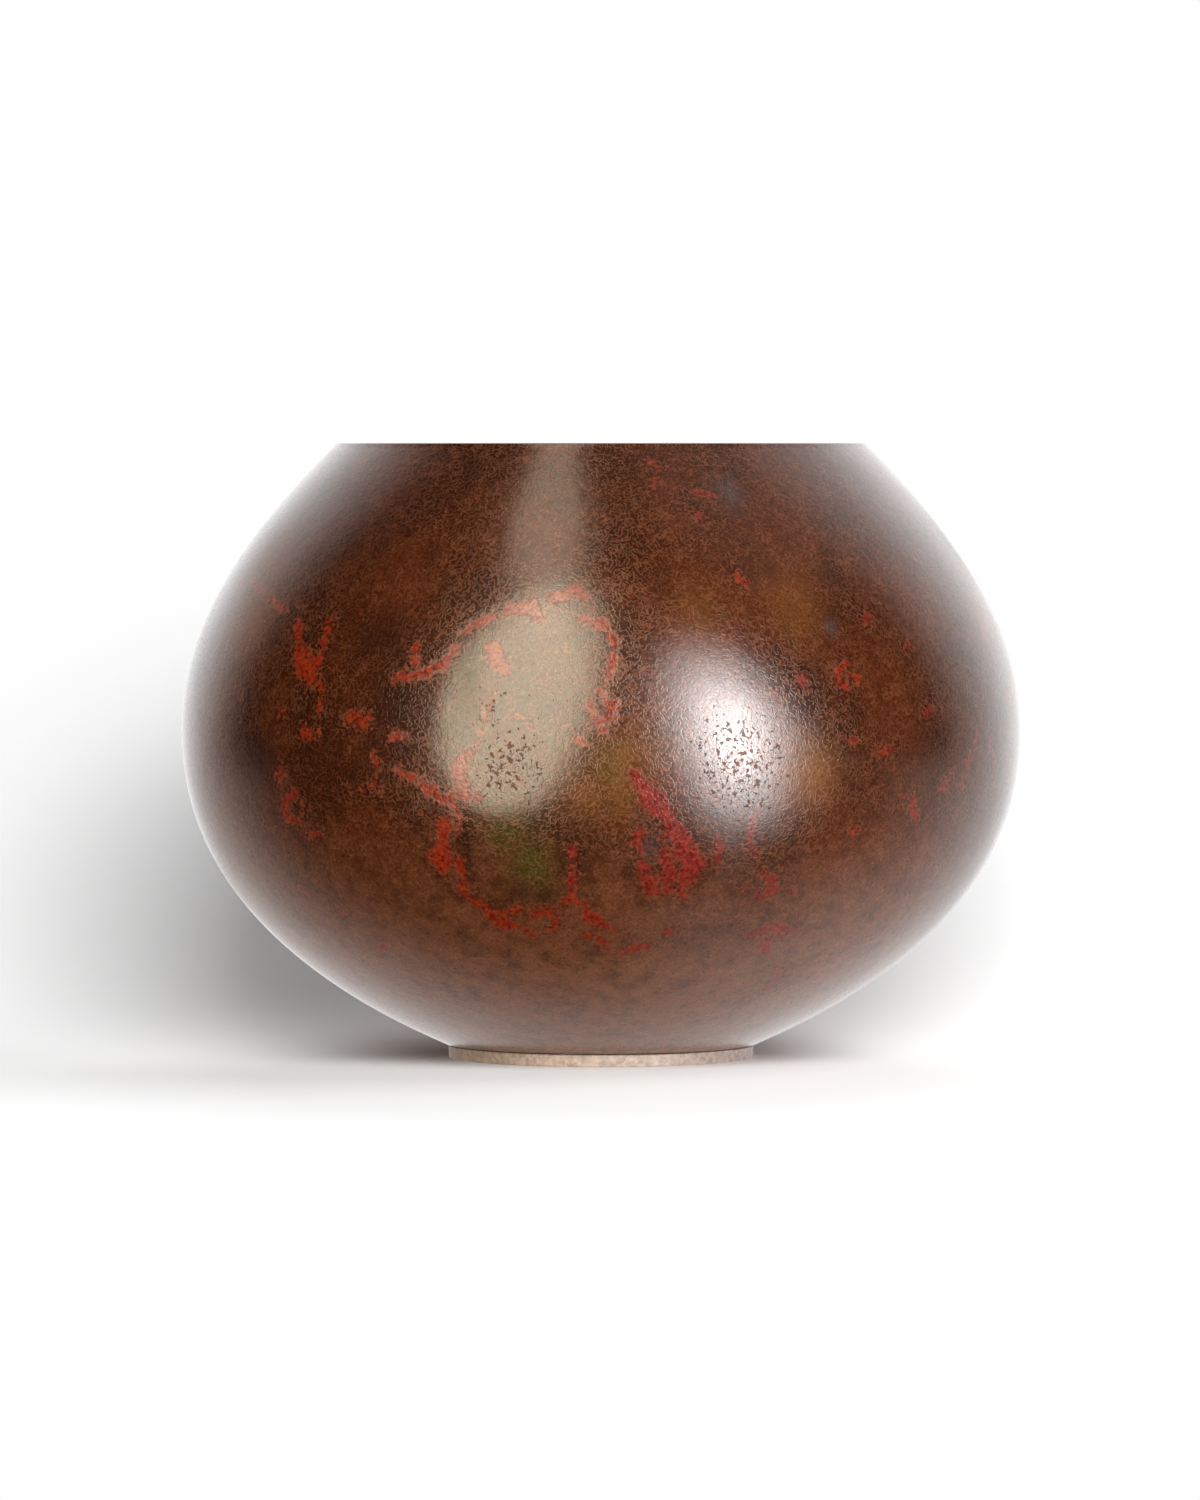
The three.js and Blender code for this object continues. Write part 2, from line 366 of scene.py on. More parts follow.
def turned_shell_tree():
    """Turns a profile about Z.

    The columns crowd towards the front, and the skin dips at random below its true outline.
    """
    tree = bpy.data.node_groups.new("Turned Shell", "GeometryNodeTree")
    sockets = (
        ("Profile", "Geometry", None),
        ("Columns", "Int", 240),
        ("Crowding", "Float", 0.0),
        ("Skin Depth", "Float", 0.0),
        ("Skin Wave", "Float", 0.03),
        ("Crease Angle", "Float", math.radians(35)),
        ("Seed", "Float", 3.0),
        ("Material", "Material", None),
    )
    for name, kind, default in sockets:
        socket = tree.interface.new_socket(name=name, in_out="INPUT", socket_type=f"NodeSocket{kind}")
        if default is not None:
            socket.default_value = default
    tree.interface.new_socket(name="Geometry", in_out="OUTPUT", socket_type="NodeSocketGeometry")
    node = partial(add_node, tree)
    given = node("NodeGroupInput", out=None)
    profile, columns = given["Profile"], given["Columns"]

    # A grid with a row for each point of the profile
    rows = node("GeometryNodeAttributeDomainSize", {"Geometry": profile}, "Point Count")
    posts = node("Math", (columns, 1.0), operation="ADD")
    mesh = node("GeometryNodeMeshGrid", {"Vertices X": posts, "Vertices Y": rows}, "Mesh")
    index = node("GeometryNodeInputIndex")
    columns_done = node("Math", (index, rows), operation="DIVIDE")
    column = node("Math", (columns_done,), operation="FLOOR")
    row = node("Math", (index, rows), operation="FLOORED_MODULO")
    here = node("GeometryNodeInputPosition")
    on_profile = node("GeometryNodeSampleIndex", {"Geometry": profile, "Value": here, "Index": row},
                      data_type="FLOAT_VECTOR")
    across = node("SeparateXYZ", (on_profile,), None)

    # Each column's angle from the front, and each point's place
    share = node("Math", (column, columns), operation="DIVIDE")
    even = node("Math", (share, math.tau), operation="MULTIPLY")
    wobble = node("Math", (even,), operation="SINE")
    pull = node("Math", (wobble, given["Crowding"]), operation="MULTIPLY")
    angle = node("Math", (even, pull), operation="SUBTRACT")
    sine = node("Math", (angle,), operation="SINE")
    cosine = node("Math", (angle,), operation="COSINE")
    x = node("Math", (across["X"], sine), operation="MULTIPLY")
    ahead = node("Math", (across["X"], cosine), operation="MULTIPLY")
    y = node("Math", (ahead, -1.0), operation="MULTIPLY")
    place = node("CombineXYZ", (x, y, across["Z"]))

    for name in ("inside", "free"):
        value = node("GeometryNodeInputNamedAttribute", {"Name": name}, data_type="FLOAT")
        carried = node("GeometryNodeSampleIndex", {"Geometry": profile, "Value": value, "Index": row},
                       data_type="FLOAT")
        mesh = node("GeometryNodeStoreNamedAttribute", {"Geometry": mesh, "Name": name, "Value": carried},
                    data_type="FLOAT", domain="POINT")
    mesh = node("GeometryNodeSetPosition", {"Geometry": mesh, "Position": place})
    mesh = node("GeometryNodeMergeByDistance", {"Geometry": mesh, "Distance": MERGE_DISTANCE})

    # The dips of the cast skin
    pitch = node("Math", (1.0, given["Skin Wave"]), operation="DIVIDE")
    waves = node("TexNoise", {"Vector": here, "W": given["Seed"], "Scale": pitch, "Detail": 2.0},
                 noise_dimensions="4D")
    free = node("GeometryNodeInputNamedAttribute", {"Name": "free"}, data_type="FLOAT")
    deep = node("Math", (given["Skin Depth"], free), operation="MULTIPLY")
    dip = node("Math", (deep, waves), operation="MULTIPLY")
    inward = node("Math", (dip, -1.0), operation="MULTIPLY")
    normal = node("GeometryNodeInputNormal")
    move = node("VectorMath", {0: normal, "Scale": inward}, operation="SCALE")
    mesh = node("GeometryNodeSetPosition", {"Geometry": mesh, "Offset": move})

    bend = node("GeometryNodeInputMeshEdgeAngle", out="Unsigned Angle")
    crease = node("FunctionNodeCompare", (bend, given["Crease Angle"]), data_type="FLOAT",
                  operation="GREATER_THAN")
    mesh = node("GeometryNodeSetShadeSmooth", {"Geometry": mesh}, domain="FACE")
    mesh = node("GeometryNodeSetShadeSmooth", {"Geometry": mesh, "Selection": crease, "Shade Smooth": False},
                domain="EDGE")
    mesh = node("GeometryNodeRealizeInstances", {"Geometry": mesh})
    mesh = node("GeometryNodeSetMaterial", {"Geometry": mesh, "Material": given["Material"]})
    node("NodeGroupOutput", (mesh,), None)
    return tree


def turned_piece(name, profile, material, inputs=None):
    """Turns one closed profile into a plain mesh object, its faces pointing out of the metal."""
    points, inside, free = profile
    line = bpy.data.meshes.new(f"{name}_profile")
    line.from_pydata([(r, 0, z) for r, z in points], [(i, i + 1) for i in range(len(points) - 1)], [])
    for attribute, values in (("inside", inside), ("free", free)):
        stored = line.attributes.new(attribute, "FLOAT", "POINT")
        stored.data.foreach_set("value", np.array(values, np.float32))
    holder = bpy.data.objects.new(f"{name}_profile", line)
    bpy.context.scene.collection.objects.link(holder)
    tree = bpy.data.node_groups.get("Turned Shell") or turned_shell_tree()
    modifier = holder.modifiers.new("Turned Shell", "NODES")
    modifier.node_group = tree
    chosen = {"Material": material, **(inputs or {})}
    for socket in tree.interface.items_tree:
        if socket.in_out == "INPUT" and socket.name in chosen:
            modifier[socket.identifier] = chosen[socket.name]
    depsgraph = bpy.context.evaluated_depsgraph_get()
    mesh = bpy.data.meshes.new_from_object(
        holder.evaluated_get(depsgraph), preserve_all_data_layers=True, depsgraph=depsgraph)
    bpy.data.objects.remove(holder)
    bpy.data.meshes.remove(line)
    solid = bmesh.new()
    solid.from_mesh(mesh)
    bmesh.ops.recalc_face_normals(solid, faces=solid.faces)
    if solid.calc_volume(signed=True) < 0:
        bmesh.ops.reverse_faces(solid, faces=solid.faces)
    if any(len(edge.link_faces) != 2 for edge in solid.edges):
        raise RuntimeError(f"{name} isn't closed")
    solid.to_mesh(mesh)
    solid.free()
    mesh.name = name
    piece = bpy.data.objects.new(name, mesh)
    bpy.context.scene.collection.objects.link(piece)
    return piece


# Marks in the patina. Each is a stroke of points: azimuth in degrees (0 in front, + to the right), level in
# mm above the floor, and half-width in mm. The shader tears their edges.

EMBER_MARKS = (
    # Patch high on the left, and a streak near the edge of the view
    ((-48, 115, 0.8), (-46, 108, 2.1), (-44.5, 104, 2.5), (-42, 101, 1.4), (-40, 99, 0.5)),
    ((-41.5, 116, 1), (-41.5, 113, 1.6), (-42, 109, 1.1), (-42, 105, 1.4)),
    ((-67, 126, 0.5), (-59, 122, 0.9), (-52, 118, 0.5)),
    # Wing that runs up to the ring
    ((-28.5, 101.5, 0.9), (-25.5, 103, 1.9), (-21.5, 105.5, 1.2), (-20, 110, 0.8)),
    ((-26, 110, 0.8), (-26.5, 108, 1.1), (-25.5, 104.5, 1.4)),
    # Ring, clockwise from its top left
    ((-19.5, 113, 0.9), (-18, 115.5, 1.1), (-15, 117.5, 0.8), (-12, 119.5, 1.6), (-10, 120, 1.9),
     (-8.5, 118, 1)),
    ((-8, 120.5, 0.7), (-5.5, 122.5, 1.1), (-4, 124, 1.8), (-2.5, 122.5, 1.1), (-1.5, 120, 0.6)),
    ((-2, 117.5, 0.9), (0.5, 115, 1.4), (2, 111, 0.7), (1.5, 106, 1.4), (1, 102, 0.9)),
    ((0, 99.5, 0.9), (1.5, 95, 1.4), (1, 92, 0.9)),
    ((-1.5, 96, 0.6), (-0.5, 91.5, 1), (0.5, 89, 0.9)),
    ((-2.5, 87, 0.7), (-2.5, 86, 0.7)),
    # Pale veins inside the ring
    ((-15, 109.5, 1.6), (-14, 106.5, 1.8), (-13, 104, 1)),
    ((-14.5, 99, 0.1), (-15.5, 92, 0.3), (-16, 86, 0.1), (-17.5, 83.5, 0.8)),
    ((-17.5, 83.5, 1), (-18.5, 81, 1.7), (-19, 78, 2.2), (-18.5, 75, 1.6)),
    ((-12.5, 93.5, 0.2), (-10, 91.5, 0.4), (-9, 90, 0.2)),
    # Branch on the left of the ring, and the ring's left side
    ((-28, 79, 0.9), (-27, 78, 1.1), (-25, 76, 1.7), (-23, 73, 1.1), (-21.5, 72, 0.9)),
    ((-21.5, 71.5, 0.9), (-20, 72.5, 1.4), (-18, 73, 1.1), (-16, 72.5, 0.8)),
    ((-20, 71, 1.1), (-19.5, 68, 1), (-20, 64, 0.9)),
    ((-21.5, 66, 1.4), (-22, 63, 1.8), (-22.5, 60, 2.2), (-23, 56.5, 2.8), (-23, 53.5, 1.6)),
    ((-20.5, 56.5, 0.6), (-20, 53, 1.1), (-20, 50, 1.4), (-20, 47, 1.3)),
    # Ring's lower side
    ((-19.5, 46, 1.1), (-18, 44.5, 1.4), (-16.5, 42.5, 1.7), (-15.5, 40.5, 2.3), (-14, 39.5, 1.6)),
    ((-14.5, 42.5, 0.9), (-13, 43.5, 1.1), (-11.5, 42.5, 1.2), (-8.5, 43, 1.1), (-6, 45.5, 0.9),
     (-4.5, 47.5, 0.8)),
    ((-4.5, 47.5, 0.8), (-3.5, 46, 0.9), (-2.5, 44, 1.1)),
    ((-7.5, 41.5, 0.5), (-7, 39, 0.8), (-9, 38, 0.5)),
    ((-12, 38.5, 0.9), (-11, 36.5, 0.8)),
    # Tail
    ((-2.5, 44, 1.1), (-2, 42.5, 2), (-1, 41, 1.6), (1, 39.5, 1.1), (2.5, 38, 1)),
    ((-2.5, 37, 0.8), (-0.5, 37, 0.9), (0.5, 35, 1.4), (1, 33, 0.6)),
    ((2, 32, 0.5), (5.5, 33, 0.6), (6.5, 34.5, 1.1), (7.5, 34, 0.6)),
    # Islands on the left
    ((-35.5, 91, 0.6), (-34.5, 92.5, 0.9), (-33, 90.5, 0.9), (-32, 92.5, 0.6)),
    ((-43, 88.5, 0.6), (-40.5, 88, 0.6), (-41.5, 86.5, 0.5), (-43, 87, 0.5)),
    ((-41, 96.5, 0.4), (-40.5, 94.5, 0.5)),
    ((-47.5, 92.5, 0.6), (-47, 92, 0.5)),
    ((-29, 87.5, 0.6), (-26.5, 88, 0.6)),
    ((-31.5, 82.5, 0.5), (-30.5, 78.5, 0.5)),
    ((-36, 73, 0.5), (-33, 74, 0.6), (-31.5, 75.5, 0.5), (-30.5, 73, 0.6)),
    ((-47.5, 78, 0.6), (-49, 76, 1.1), (-48.5, 74.5, 0.6)),
    ((-44.5, 70.5, 0.9), (-45.5, 72, 0.6), (-47.5, 70, 1.1), (-48.5, 67, 1.4), (-47.5, 65, 0.9),
     (-45, 65, 0.6)),
    ((-45.5, 62, 0.4), (-42, 62, 0.6)),
    ((-51, 48, 0.8), (-50, 46, 0.6)),
    ((-44.5, 43.5, 0.6), (-44.5, 41, 0.8)),
    ((-39, 34.5, 0.6), (-41.5, 31, 0.9)),
    ((-32.5, 28.5, 0.9), (-31, 27.5, 0.6)),
    # Lace on the right
    ((35, 105.5, 0.5), (36, 104.5, 0.6), (36.5, 102, 0.9)),
    ((33.5, 103, 0.6), (33.5, 100.5, 0.9), (34.5, 100, 0.6)),
    ((39, 83.5, 0.5), (40, 83, 0.8), (42.5, 84, 0.5)),
    ((45, 71.5, 0.6), (47, 70, 0.9), (47, 68, 0.9), (48.5, 65.5, 0.9)),
    ((36, 63, 0.6), (37.5, 62.5, 0.6), (37, 60.5, 0.6)),
    ((20.5, 128.5, 0.5), (21.5, 126, 0.5)),
)

CRIMSON_MARKS = (
    # Large patch right of the front: its right side, its point and its left lobes
    ((4.5, 78, 1.1), (5.5, 75, 2.2), (7, 71.5, 2.6), (9.5, 65.5, 2.4), (11.5, 59, 2.8), (13, 56, 1.8),
     (14.5, 55.5, 0.5)),
    ((12.5, 57, 2.4), (12.5, 53.5, 2.6), (12, 50, 2), (12, 46.5, 0.9)),
    ((5.5, 64.5, 0.9), (5, 61, 1.1), (5.5, 58.5, 0.8)),
    ((6, 55.5, 1.4), (7, 52, 2), (7.5, 49, 1.9)),
    ((9, 61, 1.1), (9, 56, 1.5), (10, 52.5, 2), (9.5, 49, 1.8)),
    # Stem inside the ring
    ((-4.5, 48.5, 0.8), (-4, 52.5, 1), (-4, 56.5, 0.9), (-4, 60, 0.5)),
    # Specks under the mouth
    ((9.5, 156.5, 0.6), (11, 154.5, 0.9)),
    ((10, 151.5, 0.5), (10, 150, 0.5)),
    ((17.5, 148.5, 0.4), (19.5, 148, 0.5)),
    ((15.5, 144.5, 0.5), (17, 140.5, 0.5)),
    ((-58, 156.5, 0.5), (-55, 153, 0.5)),
    # Specks on the right
    ((40, 115, 0.5), (41, 116.5, 0.9), (42.5, 117.5, 0.5)),
    ((48.5, 111, 0.8), (47, 108.5, 0.8)),
    ((27, 103.5, 0.6), (27.5, 102.5, 0.9), (28, 100.5, 0.6)),
    ((22.5, 98, 0.8), (24, 98.5, 0.5)),
    ((34, 87, 0.6), (35, 86, 0.9), (36, 86, 0.6)),
    ((48.5, 92.5, 0.9), (50, 93.5, 0.8)),
    ((53, 73, 0.8), (55, 76, 0.8)),
    ((57.5, 73.5, 0.9), (59.5, 81, 0.8), (61, 85, 0.8)),
    ((65.5, 85, 0.9), (67, 79.5, 0.9), (68.5, 73, 0.9)),
    # Threads and rose patches below them
    ((16, 62.5, 0.5), (16.5, 59, 0.8), (16.5, 55, 0.7)),
    ((21, 70, 0.5), (20.5, 65, 0.9), (21, 60, 1.1), (22, 57, 0.6)),
    ((21, 49, 0.9), (24.5, 46.5, 1.4), (26, 48, 1.1), (25.5, 51, 0.9), (23.5, 53, 1)),
    ((25, 37, 0.9), (28, 38.5, 1.7), (31, 37.5, 1.6), (32.5, 36.5, 0.8)),
    ((28.5, 35, 1.4), (29, 32.5, 1.4), (31, 30.5, 0.8)),
    ((33.5, 27.5, 1), (36, 24, 1.1), (35, 21, 0.8)),
    ((10.5, 38, 0.8), (12, 37.5, 0.5)),
    ((27, 54.5, 0.5), (29.5, 47.5, 0.6)),
)

# Soft clouds: azimuth in degrees, level in mm, half-width and half-height in mm, strength
RUSSET_CLOUDS = (
    (44, 100, 22, 30, 0.4),
    (40, 62, 18, 16, 0.6),
    (14, 112, 14, 20, 0.6),
    (30, 128, 12, 20, 0.5),
    (-30, 128, 22, 14, 0.35),
    (-38, 60, 26, 16, 0.4),
)
GOLD_CLOUDS = (
    (29, 78, 8, 9, 0.75),
    (29, 119, 8, 9, 0.4),
    (14, 119, 7, 7, 0.35),
    (3, 79, 8, 11, 0.7),
    (-2, 73, 6, 7, 0.5),
)
OLIVE_CLOUDS = (
    (-9.5, 55, 6, 7, 1.0),
    (-12.5, 64, 7, 7, 0.75),
    (1, 80, 5, 7, 0.35),
    (-18, 100, 4, 11, 0.5),
)
SLATE_CLOUDS = (
    (23.5, 148.5, 4, 4.2, 0.9),
    (18, 37, 14, 9, 0.55),
    (7, 60, 3.5, 5, 0.6),
    (34, 114.5, 2, 2, 0.9),
    (18, 58, 6, 8, 0.4),
    (24, 49, 8, 5, 0.3),
)
# Deep brown shade in the patina round the blooms. The clouds at -53 and -40 degrees, 80 mm up, are painted
# shade, where the left of the belly is dimly lit and mirrors the dark room in front
SHADE_CLOUDS = (
    (-28, 95, 10, 9, 0.9),
    (-29, 86, 9, 7, 0.7),
    (-53, 80, 9, 9, 0.9),
    (-33, 113, 14, 7, 0.6),
    (-19, 60, 2.5, 11, 0.8),
    (-40, 80, 14, 14, 0.4),
    (-52, 140, 30, 16, 0.5),
    (-4, 55, 4, 8, 0.6),
    (51, 80, 8, 12, 0.5),
    (-12, 48, 12, 4, 0.5),
)
# Where the cast skin is eaten into pits
PITTED_CLOUDS = (
    (-12, 80, 10, 9, 1.0),
    (-14.5, 94, 4, 8, 0.75),
    (18, 81, 15, 13, 1.0),
    (20, 62, 12, 10, 0.5),
    (5, 72, 14, 12, 0.35),
    (26, 45, 14, 10, 0.5),
    (44, 75, 16, 22, 0.35),
    (-46, 64, 12, 18, 0.4),
    (-24, 62, 8, 14, 0.35),
)

# Each red, its marks in front and how many rings of marks are drawn round the sides and back
MARKED_REDS = (("ember", EMBER_MARKS, 40), ("crimson", CRIMSON_MARKS, 30))

# Each cloud's field, its clouds in front, and how many more are drawn, their size in mm and their strength
CLOUDED = (
    ("russet", RUSSET_CLOUDS, 14, 20, 0.8),
    ("gold", GOLD_CLOUDS, 8, 10, 0.6),
    ("olive", OLIVE_CLOUDS, 7, 7, 0.8),
    ("slate", SLATE_CLOUDS, 8, 8, 0.5),
    ("shade", SHADE_CLOUDS, 16, 11, 0.8),
    ("pitted", PITTED_CLOUDS, 12, 12, 0.8),
)

# The marks and clouds that are drawn at random: azimuths in degrees, sweeps in radians, the rest in mm
MARK_AZIMUTHS = (74, 286)
MARK_LEVELS = (30, 145)
RING_SIZES = (3, 22)
RING_SWEEPS = (0.4, 2.6)
GAP_CHANCE = 0.3
STROKE_SPACING = 5
STROKE_WIDTH = 2.2
STROKE_LEVELS = (8, 158)
MEAN_RADIUS = 95
CLOUD_AZIMUTHS = (62, 298)
CLOUD_LEVELS = (25, 145)

FAR_FROM_MARKS = -6.0
STROKE_REFINEMENT = 4


def radius_at(level, line):
    """The outline's radius at a level, both in mm."""
    return np.interp(level * MM, line[:, 1], line[:, 0]) / MM


def mark_field(azimuth, level, marks, line):
    """How far inside the nearest mark each point lies, in mm. It is negative outside the marks."""

    def on_vase(turn, height):
        radius = radius_at(height, line)
        return np.stack(
            [radius * np.sin(np.radians(turn)), -radius * np.cos(np.radians(turn)), height], axis=-1)

    field = np.full(len(azimuth), FAR_FROM_MARKS)
    points = on_vase(azimuth, level)
    for stroke in marks:
        last = len(stroke) - 1
        finer = np.linspace(0, last, STROKE_REFINEMENT * last + 1)
        turns, heights, half_widths = (
            np.interp(finer, range(last + 1), values) for values in np.array(stroke, float).T)
        path = on_vase(turns, heights)
        reach = half_widths.max() - FAR_FROM_MARKS
        low, high = path.min(axis=0) - reach, path.max(axis=0) + reach
        near = np.flatnonzero(np.all((points > low) & (points < high), axis=1))
        if not len(near):
            continue
        span = path[1:] - path[:-1]
        from_start = points[near, None] - path[None, :-1]
        share = np.clip((from_start * span).sum(-1) / np.maximum((span * span).sum(-1), 1e-12), 0, 1)
        distance = np.linalg.norm(from_start - share[..., None] * span, axis=-1)
        half_width = half_widths[:-1] + share * (half_widths[1:] - half_widths[:-1])
        field[near] = np.maximum(field[near], (half_width - distance).max(axis=1))
    return field


def cloud_field(azimuth, level, clouds, line):
    """Soft round fields, 1 at the middle of a cloud of full strength."""
    radius = radius_at(level, line)
    field = np.zeros(len(azimuth))
    for turn, height, half_width, half_height, strength in clouds:
        across = np.radians((azimuth - turn + 180) % 360 - 180) * radius / half_width
        up = (level - height) / half_height
        field = np.maximum(field, strength * np.exp(-(across ** 2 + up ** 2)))
    return field


def drawn_marks(draw, count):
    """Broken rings of marks round the sides and back."""
    marks = []
    for _ in range(count):
        turn = draw.uniform(*MARK_AZIMUTHS)
        height = draw.uniform(*MARK_LEVELS)
        size = draw.uniform(*RING_SIZES)
        start = draw.uniform(0, math.tau)
        sweep = draw.uniform(*RING_SWEEPS)
        steps = max(2, int(sweep * size / STROKE_SPACING))
        for i in range(steps):
            if draw.uniform() < GAP_CHANCE:
                continue
            angles = start + sweep * (i + np.array([0, 0.5, 1])) / steps
            sizes = size * (1 + 0.2 * draw.standard_normal(3))
            half_widths = draw.uniform(0.3, 1.0, 3) * STROKE_WIDTH
            turns = turn + np.degrees(sizes * np.cos(angles) / MEAN_RADIUS)
            levels = np.clip(height + sizes * np.sin(angles), *STROKE_LEVELS)
            marks.append(np.stack([turns, levels, half_widths], axis=1))
    return marks


def drawn_clouds(draw, count, size, strength):
    """Soft clouds round the sides and back."""
    return tuple((draw.uniform(*CLOUD_AZIMUTHS), draw.uniform(*CLOUD_LEVELS), draw.uniform(0.6, 1.4) * size,
                  draw.uniform(0.6, 1.4) * size, draw.uniform(0.5, 1.0) * strength) for _ in range(count))


def store_patina(piece, shape, seed):
    """Writes the fields that place the patina's marks as attributes of the body's points."""
    mesh = piece.data
    count = len(mesh.vertices)
    places = np.empty(count * 3)
    mesh.vertices.foreach_get("co", places)
    x, y, z = places.reshape(-1, 3).T
    azimuth = np.degrees(np.arctan2(x, -y))
    level = z / MM
    inside = np.empty(count, np.float32)
    mesh.attributes["inside"].data.foreach_get("value", inside)
    line, _ = outline(shape, OUTSIDE_STEPS)
    draw = np.random.default_rng(seed)
    fields = {}
    for name, marks, number in MARKED_REDS:
        behind = mark_field(azimuth % 360, level, drawn_marks(draw, number), line)
        in_front = mark_field(azimuth, level, marks, line)
        fields[name] = np.where(inside > 0.5, FAR_FROM_MARKS, np.maximum(behind, in_front))
    for name, clouds, number, size, strength in CLOUDED:
        clouds += drawn_clouds(draw, number, size, strength)
        fields[name] = cloud_field(azimuth, level, clouds, line) * (1 - inside)
    for name, values in fields.items():
        stored = mesh.attributes.new(name, "FLOAT", "POINT")
        stored.data.foreach_set("value", values.astype(np.float32))


# Materials

# In mm: how much fuller the marks are drawn, because tearing eats into them, and how far a tear reaches
MARK_SPREAD = 0.5
TEAR_REACH = 10.5

# The waxed oxide skin of the body
WAX_ROUGHNESS = 0.14
OXIDE_IOR = 2.0

# Roughness of the turned pieces
FOOT_ROUGHNESS = 0.6
PLATE_ROUGHNESS = 0.55


def new_material(name):
    material = bpy.data.materials.new(name)
    material.use_nodes = True
    material.node_tree.nodes.clear()
    return material


def patinated_bronze(patina):
    """Cast bronze, chased smooth, stained with hot brown and red oxide patinas and waxed.

    The oxide is dull and brown, the metal under it glows through a little, and the waxed oxide skin mirrors
    the room, broken up by the grain, the curling cracks and the pits of the cast skin. The real grain is 0.3
    to 1 mm. It is drawn at 1 mm and up, so that it shows.
    """
    material = new_material("patinated_bronze")
    node = partial(add_node, material.node_tree)
    where = node("TexCoord", out="Object")
    level = node("SeparateXYZ", (where,), "Z")

    # Each noise with the size of its blotches in metres, its detail and its roughness
    clouds, mottle, flecks, curl, tears, pocks, ripples = (
        node("TexNoise", {"Vector": where, "Scale": 1 / size, "Detail": detail, "Roughness": roughness})
        for size, detail, roughness in (
            (22 * MM, 6.0, 0.62), (5 * MM, 5.0, 0.66), (patina.grain * 1.8, 3.0, 0.65),
            (patina.grain * 2.3, 1.5, 0.5), (4.5 * MM, 8.0, 0.78), (patina.grain * 2.0, 2.0, 0.6),
            (3.2 * MM, 2.0, 0.5)))
    inside, russet, gold, olive, slate, shade, eaten, ember_marks, crimson_marks = (
        node("Attribute", out="Fac", attribute_name=name) for name in (
            "inside", "russet", "gold", "olive", "slate", "shade", "pitted", "ember", "crimson"))

    # Curling hairlines where one level of a noise runs, like the rims of the grain
    off_level = node("Math", (curl, 0.5), operation="SUBTRACT")
    off_level = node("Math", (off_level,), operation="ABSOLUTE")
    hairline = node("MapRange", (off_level, 0.06, 0.015), **SMOOTH)

    # Pits, where the skin is eaten, and a few more in its broad clouds
    strewn = node("MapRange", (clouds, 0.54, 0.76, 0.0, 0.15))
    pitted = node("Math", (eaten, strewn), operation="ADD")
    pit_level = node("MapRange", (pitted, 0.0, 0.8, 0.26, 0.43))
    pit_depth = node("Math", (pit_level, pocks), operation="SUBTRACT")
    pits = node("MapRange", (pit_depth, 0.0, 0.03), **SMOOTH)

    # Red blooms: how deep inside a torn mark each place lies, and the fringe and halo round it
    tear = node("Math", (tears, 0.5), operation="SUBTRACT")
    heart = node("MapRange", (mottle, 0.34, 0.46, 0.6, 1.0))
    depths, blooms = [], []
    for marks, edge in ((ember_marks, 1.1), (crimson_marks, 1.3)):
        fuller = node("Math", (marks, MARK_SPREAD), operation="ADD")
        depths.append(node("Math", (tear, TEAR_REACH, fuller), operation="MULTIPLY_ADD"))
        bloom = node("MapRange", (depths[-1], 0.0, edge), **SMOOTH)
        blooms.append(node("Math", (bloom, heart), operation="MULTIPLY"))
    ember, crimson = blooms
    nearest = node("Math", depths, operation="MAXIMUM")
    halo = node("MapRange", (nearest, -4.0, 0.5, 0.0, 0.3), **SMOOTH)
    rust = node("MapRange", (nearest, -2.0, 0.2, 0.0, 0.9), **SMOOTH)
    rusty_grains = node("MapRange", (flecks, 0.52, 0.6))
    fringe = node("Math", (rust, rusty_grains), operation="MULTIPLY")
    orange_grains = node("MapRange", (flecks, 0.4, 0.62))
    ember_skin = node("Mix", {FACTOR: orange_grains, UNDER: patina.ember, OVER: patina.salmon}, **COLOUR_MIX)
    rose_grains = node("MapRange", (flecks, 0.4, 0.64))
    crimson_skin = node("Mix", {FACTOR: rose_grains, UNDER: patina.crimson, OVER: patina.rose}, **COLOUR_MIX)

    # The brown skin: paler low on the belly, which is painted light from the pale table under it, and coarser
    # there. It closes up in its dark shade, which is partly painted shade
    low_belly = node("MapRange", (level, 66 * MM, 28 * MM))
    warm_clouds = node("MapRange", (clouds, 0.4, 0.66, 0.0, 0.6))
    warm = node("Math", (russet, 0.8, warm_clouds), operation="MULTIPLY_ADD")
    open_skin = node("MapRange", (shade, 0.0, 0.8, 1.0, 0.15))
    rubbed = node("MapRange", (mottle, 0.44, 0.62, 0.05, 0.32))
    # Painted light: the low-belly term gives the low belly more pale grains, as the pale table under it would
    # light it
    rubbed = node("Math", (low_belly, 0.3, rubbed), operation="MULTIPLY_ADD")
    rubbed = node("Math", (rubbed, open_skin), operation="MULTIPLY")
    pale_grains = node("MapRange", (flecks, 0.52, 0.68))
    pale = node("Math", (pale_grains, rubbed), operation="MULTIPLY")
    darkest = node("Math", (low_belly, 0.3, 0.16), operation="MULTIPLY_ADD")
    dark = node("MapRange", (flecks, 0.46, 0.3, 0.0, darkest))
    # Sand along the hairlines: partly rubbed rims of the grain, partly painted glints where their relief
    # catches the light
    line_strength = node("MapRange", (mottle, 0.38, 0.56, 0.13, 0.33))
    pale_line = node("Math", (hairline, open_skin), operation="MULTIPLY")
    pale_line = node("Math", (pale_line, line_strength), operation="MULTIPLY")
    # Painted light: tan over the low belly, for the light that the pale table throws up onto it
    table_lit_tan = node("MapRange", (mottle, 0.36, 0.6, 0.4, 0.8))
    table_lit_tan = node("Math", (low_belly, table_lit_tan), operation="MULTIPLY")
    dusk = node("MapRange", (mottle, 0.48, 0.3, 0.0, 0.4))
    # Plum over the shade field, which is partly painted shade on the left of the belly
    shaded = node("MapRange", (shade, 0.0, 1.0, 0.0, 0.85))
    filled_pits = node("Math", (pits, 0.3), operation="MULTIPLY")

